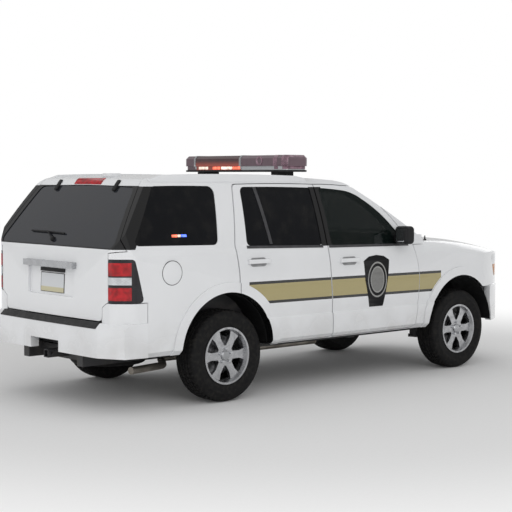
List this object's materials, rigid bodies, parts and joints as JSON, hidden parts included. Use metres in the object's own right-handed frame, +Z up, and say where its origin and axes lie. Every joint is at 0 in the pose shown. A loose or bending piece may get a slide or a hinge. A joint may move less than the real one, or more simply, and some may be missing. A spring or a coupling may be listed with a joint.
{
  "type": "police suv",
  "caption": "White body-on-frame police SUV with opening doors, hood and liftgate, steered wheels, gold side stripe and a roof lightbar.",
  "frame": {"origin": "on the ground under the middle of the vehicle's box", "axes": "+X forward, +Y to the driver's left, +Z up"},
  "size_m": [4.9119, 2.172, 1.985],
  "materials": {
    "body_paint": "white gloss paint",
    "dark_glass": "dark privacy tint",
    "clear_glass": "light green tint",
    "black_plastic": "grained black",
    "bright_trim": "satin bright trim",
    "red_lens": "red moulded lens",
    "clear_lens": "clear moulded lens",
    "tyre_rubber": "black rubber",
    "wheel_alloy": "machined and painted alloy",
    "chassis_black": "black chassis paint",
    "engine_metal": "cast",
    "exhaust_steel": "heat-stained steel",
    "seat_cloth": "dark woven cloth"
  },
  "bodies": {
    "body": {"body_side_right": "body_paint", "body_side_left": "body_paint", "roof_panel": "body_paint", "front_fenders": "body_paint", "front_bumper": "body_paint", "rear_bumper": "body_paint", "roof_rails": "body_paint", "quarter_windows": "dark_glass", "windshield": "clear_glass", "cowl_panel": "black_plastic", "dashboard": "black_plastic", "steering_wheel": "black_plastic", "lightbar_base": "black_plastic", "radiator_panel": "black_plastic", "grille": "bright_trim", "taillamps": "red_lens", "lightbar_lenses": "red_lens", "headlamps": "clear_lens", "spare_wheel": "tyre_rubber", "ladder_frame": "chassis_black", "front_suspension": "chassis_black", "rear_axle": "chassis_black", "hitch_receiver": "chassis_black", "drive_shaft": "chassis_black", "floor_pan": "chassis_black", "fuel_tank": "chassis_black", "engine": "engine_metal", "exhaust": "exhaust_steel", "front_seats": "seat_cloth", "rear_seat": "seat_cloth"},
    "front_door_right": {"front_door_right": "body_paint", "front_door_glass_right": "clear_glass", "mirror_right": "black_plastic"},
    "front_door_left": {"front_door_left": "body_paint", "front_door_glass_left": "clear_glass", "mirror_left": "black_plastic"},
    "rear_door_right": {"rear_door_right": "body_paint", "rear_door_glass_right": "dark_glass"},
    "rear_door_left": {"rear_door_left": "body_paint", "rear_door_glass_left": "dark_glass"},
    "hood": {"hood": "body_paint"},
    "liftgate": {"liftgate": "body_paint", "liftgate_glass": "dark_glass", "liftgate_handle": "bright_trim"},
    "knuckle_right": {"knuckle_right": "chassis_black"},
    "knuckle_left": {"knuckle_left": "chassis_black"},
    "wheel_front_right": {"tyre_front_right": "tyre_rubber", "rim_front_right": "wheel_alloy"},
    "wheel_front_left": {"tyre_front_left": "tyre_rubber", "rim_front_left": "wheel_alloy"},
    "wheel_rear_right": {"tyre_rear_right": "tyre_rubber", "rim_rear_right": "wheel_alloy"},
    "wheel_rear_left": {"tyre_rear_left": "tyre_rubber", "rim_rear_left": "wheel_alloy"}
  },
  "joints": [
    {"name": "front_door_right_swing", "type": "hinge", "parent": "body", "child": "front_door_right", "pos_m": [0.945, -0.941, 0.9], "axis": [0, 0, 1], "range_deg": [0, 65]},
    {"name": "front_door_left_swing", "type": "hinge", "parent": "body", "child": "front_door_left", "pos_m": [0.945, 0.941, 0.9], "axis": [0, 0, -1], "range_deg": [0, 65]},
    {"name": "rear_door_right_swing", "type": "hinge", "parent": "body", "child": "rear_door_right", "pos_m": [-0.157, -0.941, 0.9], "axis": [0, 0, 1], "range_deg": [0, 65]},
    {"name": "rear_door_left_swing", "type": "hinge", "parent": "body", "child": "rear_door_left", "pos_m": [-0.157, 0.941, 0.9], "axis": [0, 0, -1], "range_deg": [0, 65]},
    {"name": "hood_lift", "type": "hinge", "parent": "body", "child": "hood", "pos_m": [1.023, 0, 1.264], "axis": [0, -1, 0], "range_deg": [0, 58]},
    {"name": "liftgate_lift", "type": "hinge", "parent": "body", "child": "liftgate", "pos_m": [-1.987, 0, 1.789], "axis": [0, 1, 0], "range_deg": [0, 82]},
    {"name": "steer_left", "type": "hinge", "parent": "body", "child": "knuckle_left", "pos_m": [1.576, 0.7, 0.37], "axis": [0, 0, 1], "range_deg": [-35, 35]},
    {"name": "steer_right", "type": "hinge", "parent": "body", "child": "knuckle_right", "pos_m": [1.576, -0.7, 0.37], "axis": [0, 0, 1], "range_deg": [-35, 35]},
    {"name": "wheel_front_right_spin", "type": "hinge", "parent": "knuckle_right", "child": "wheel_front_right", "pos_m": [1.576, -0.7735, 0.37], "axis": [0, 1, 0], "continuous": true},
    {"name": "wheel_front_left_spin", "type": "hinge", "parent": "knuckle_left", "child": "wheel_front_left", "pos_m": [1.576, 0.7735, 0.37], "axis": [0, 1, 0], "continuous": true},
    {"name": "wheel_rear_right_spin", "type": "hinge", "parent": "body", "child": "wheel_rear_right", "pos_m": [-1.312, -0.785, 0.37], "axis": [0, 1, 0], "continuous": true},
    {"name": "wheel_rear_left_spin", "type": "hinge", "parent": "body", "child": "wheel_rear_left", "pos_m": [-1.312, 0.785, 0.37], "axis": [0, 1, 0], "continuous": true}
  ],
  "couplings": [
    {"joint": "steer_right", "follows": "steer_left", "ratio": 1}
  ]
}
